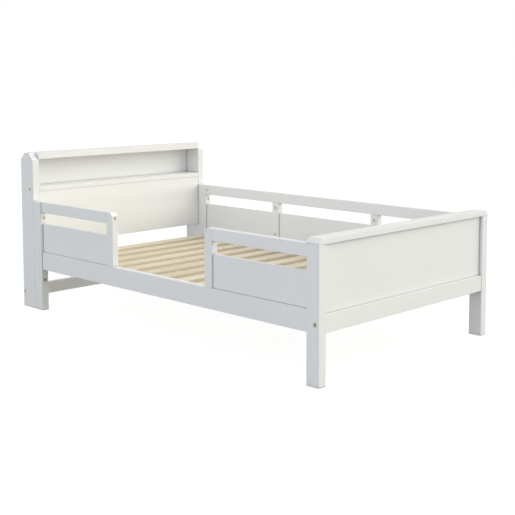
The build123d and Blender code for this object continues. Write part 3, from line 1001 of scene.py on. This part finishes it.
trees = {
    "bolt": makeBoltTree(),
    "rod": makeRodTree(),
    "nut": makeNutTree(),
    "dowel": makeDowelTree(),
}
hexSocket = {"Recess Points": 6, "Recess Outer": 0.0025, "Recess Inner": 0.00217}
cross = {"Recess Points": 4, "Recess Outer": 0.0022, "Recess Inner": 0.0006, "Recess Taper": 0.6}
machineThread = {"Shank Radius": 0.0029, "Pitch": 0.0012, "Thread Depth": 0.0004, "Tip": 0.80}
woodThread = {"Pitch": 0.0018, "Thread Depth": 0.0006, "Tip": 0.12, "Tip Length": 0.005}
socketBolt = {**hexSocket, **machineThread, "Rim": 0.0006}
boardScrew = {
    **woodThread, **cross, "Head Radius": 0.0040, "Neck Radius": 0.0020, "Head Depth": 0.0030,
    "Rim": 0.0002, "Shank Radius": 0.0020,
}
fittingKinds = {
    **{node: ("bolt", zinc, socketBolt) for node in socketBoltNodes},
    "guard_rail_studs": ("rod", zinc, {
        **machineThread, "Head Radius": 0.0029, "Neck Radius": 0.0029, "Head Depth": 0.0010,
    }),
    "cam_pins": ("rod", zinc, {
        "Head Radius": 0.0029, "Neck Radius": 0.0029, "Head Depth": 0.0030, "Rim": 0.0006,
        "Shank Radius": 0.0029, "Pitch": 0.0040, "Thread Depth": 0.0008, "Tip": 0.5,
        "Tip Length": 0.004,
    }),
    "carcass_screws": ("bolt", zinc, {
        **woodThread, **hexSocket, "Head Radius": 0.0050, "Neck Radius": 0.0050,
        "Head Depth": 0.0030, "Rim": 0.0006, "Shank Radius": 0.0034, "Pitch": 0.0030,
    }),
    "ledger_screws": ("bolt", zinc, boardScrew),
    "slat_screws": ("bolt", zinc, boardScrew),
    "back_panel_screws": ("bolt", zinc, {
        **boardScrew, "Head Radius": 0.0030, "Neck Radius": 0.0015, "Head Depth": 0.0020,
        "Shank Radius": 0.0015, "Recess Outer": 0.0017, "Recess Depth": 0.0015,
    }),
    "barrel_nuts": ("nut", zinc, {
        **cross, "Recess Points": 2, "Recess Outer": 0.0042, "Recess Inner": 0.0006,
        "Recess Depth": 0.0014, "Recess Taper": 0.0, "Head Radius": 0.0050,
        "Neck Radius": 0.0050, "Head Depth": 0.0010, "Shank Radius": 0.0050,
        "Thread Depth": 0.0, "Pitch": 0.0050, "Rim": 0.0005, "Tip": 0.94, "Tip Length": 0.0005,
    }),
    "cam_nuts": ("nut", castZinc, {
        **cross, "Recess Outer": 0.0036, "Recess Inner": 0.0011, "Recess Depth": 0.0030,
        "Recess Taper": 0.3, "Head Radius": 0.0075, "Neck Radius": 0.0075,
        "Head Depth": 0.0015, "Shank Radius": 0.0072, "Thread Depth": 0.0, "Pitch": 0.0040,
        "Rim": 0.0004, "Tip": 0.96, "Tip Length": 0.0005, "Cross Radius": 0.0033,
    }),
    "frame_dowels": ("dowel", beech, {"Radius": 0.0040, "Flutes": 16}),
    "guard_dowels": ("dowel", beech, {"Radius": 0.0030, "Flutes": 12}),
}
fittingRandom = random.Random(turnedSettings["seed"])


def anySideways(fitting):
    # bolts and screws stop at any turn, leaning a hair to one side
    drawn = Vector([fittingRandom.uniform(-1, 1) for axis in range(3)])
    return drawn + Vector((turnedSettings["lean"], 0.0, 0.0))


def makeFittings(node, kind, material, settings):
    fittings = fittingsOf(node)
    size = fittings[0]["high"] - fittings[0]["low"]
    values = {**boltInputs, **settings, "Material": material}
    values["Length"] = size[fittings[0]["axis"]]
    if kind == "nut":
        for fitting in fittings:
            pointOutOfWood(fitting)
        values["Cross Depth"] = boltDepth(fittings[0])
    sidewaysOf = boltThrough if kind == "nut" else anySideways
    piece = stationsObject(camelName(node), fittings, sidewaysOf)
    addTree(piece, trees[kind], values)
    mesh = evaluated(piece)
    work = bmesh.new()
    work.from_mesh(mesh)
    weldTriangles(work)
    work.to_mesh(mesh)
    work.free()
    softenFaces(mesh, turnedSettings["smoothAngle"])
    settle(piece, [node])
    print(camelName(node), len(fittings), "made,", len(mesh.polygons), "faces")


for node, (kind, material, settings) in fittingKinds.items():
    makeFittings(node, kind, material, settings)


# Floor, light and camera.
floorSettings = {
    "radius": 60.0,
    "sides": 96,
    "colour": (0.13, 0.13, 0.13),
    "mottle": 0.01,
    "mottleScale": 3.0,
    "glow": 0.90,
    "bounce": 0.35,
    "roughness": 0.9,
}


def makeFloor():
    look = floorSettings
    work = bmesh.new()
    bmesh.ops.create_circle(work, cap_ends=True, segments=look["sides"], radius=look["radius"])
    mesh = bpy.data.meshes.new("floor")
    work.to_mesh(mesh)
    work.free()
    floor = bpy.data.objects.new("floor", mesh)
    collection.objects.link(floor)
    material, tree, shader = startMaterial("floorPaint")
    place = add(tree, "ShaderNodeTexCoord").outputs["Object"]
    mottle = noise(tree, place, look["mottleScale"], detail=3.0)
    light = calc(tree, "MULTIPLY_ADD", mottle, look["mottle"], 1.0 - look["mottle"] / 2)
    colour = shaded(tree, solid(look["colour"]), light)
    tree.links.new(colour, shader.inputs["Base Color"])
    shader.inputs["Roughness"].default_value = look["roughness"]
    shader.inputs["Emission Color"].default_value = grey(1.0)
    shader.inputs["Emission Strength"].default_value = look["glow"]
    # the camera sees it bright, and the bed gets less light back from it
    dim = add(tree, "ShaderNodeBsdfDiffuse", {"Color": grey(look["bounce"])})
    seen = add(tree, "ShaderNodeLightPath").outputs["Is Camera Ray"]
    both = add(tree, "ShaderNodeMixShader", {0: seen, 1: dim.outputs[0], 2: shader.outputs[0]})
    # seen through from below, so that the underside can be looked at
    below = add(tree, "ShaderNodeNewGeometry").outputs["Backfacing"]
    clear = add(tree, "ShaderNodeBsdfTransparent")
    oneWay = add(tree, "ShaderNodeMixShader", {0: below, 1: both.outputs[0], 2: clear.outputs[0]})
    tree.links.new(oneWay.outputs[0], tree.nodes["Material Output"].inputs["Surface"])
    mesh.materials.append(material)


lightSettings = {
    "sky": (0.700, 0.675, 0.660),
    "backdrop": 1.0,
    "lamps": {
        "footWindow": {"from": (0.6, 0.8, 0.3), "colour": (1.000, 0.993, 0.859), "power": 2.52,
                       "softness": 70.0},
        "frontWindow": {"from": (0.1, -1.0, 0.2), "colour": (0.744, 0.900, 1.000), "power": 1.14,
                        "softness": 80.0},
    },
}


def makeLight():
    world = bpy.data.worlds.new("studio")
    world.use_nodes = True
    tree = world.node_tree
    tree.nodes.clear()
    sky = add(tree, "ShaderNodeBackground", {"Color": solid(lightSettings["sky"])})
    backdrop = add(tree, "ShaderNodeBackground", {
        "Color": grey(1.0), "Strength": lightSettings["backdrop"],
    })
    seen = add(tree, "ShaderNodeLightPath").outputs["Is Camera Ray"]
    both = add(tree, "ShaderNodeMixShader", {0: seen, 1: sky.outputs[0], 2: backdrop.outputs[0]})
    add(tree, "ShaderNodeOutputWorld", {"Surface": both.outputs[0]})
    bpy.context.scene.world = world
    for name, look in lightSettings["lamps"].items():
        lamp = bpy.data.lights.new(name, "SUN")
        lamp.color = look["colour"]
        lamp.energy = look["power"]
        lamp.angle = math.radians(look["softness"])
        holder = bpy.data.objects.new(name, lamp)
        holder.rotation_euler = Vector(look["from"]).to_track_quat("Z", "Y").to_euler()
        collection.objects.link(holder)


cameraSettings = {
    "place": (2.47386, -2.36365, 0.82611),
    "heading": 44.0737,
    "dip": 5.562,
    "lens": 71.335,
    "sensor": 36.0,
    "shift": (-0.0437, -0.1602),
}


def makeCamera():
    look = cameraSettings
    data = bpy.data.cameras.new("camera")
    data.lens = look["lens"]
    data.sensor_width = look["sensor"]
    data.shift_x, data.shift_y = look["shift"]
    camera = bpy.data.objects.new("camera", data)
    heading, dip = math.radians(look["heading"]), math.radians(look["dip"])
    forward = Vector((-math.sin(heading) * math.cos(dip), math.cos(heading) * math.cos(dip),
                      -math.sin(dip)))
    camera.location = look["place"]
    camera.rotation_euler = forward.to_track_quat("-Z", "Y").to_euler()
    collection.objects.link(camera)
    bpy.context.scene.camera = camera


makeFloor()
makeLight()
makeCamera()
bpy.context.scene.view_settings.view_transform = "Standard"
print("stage set")
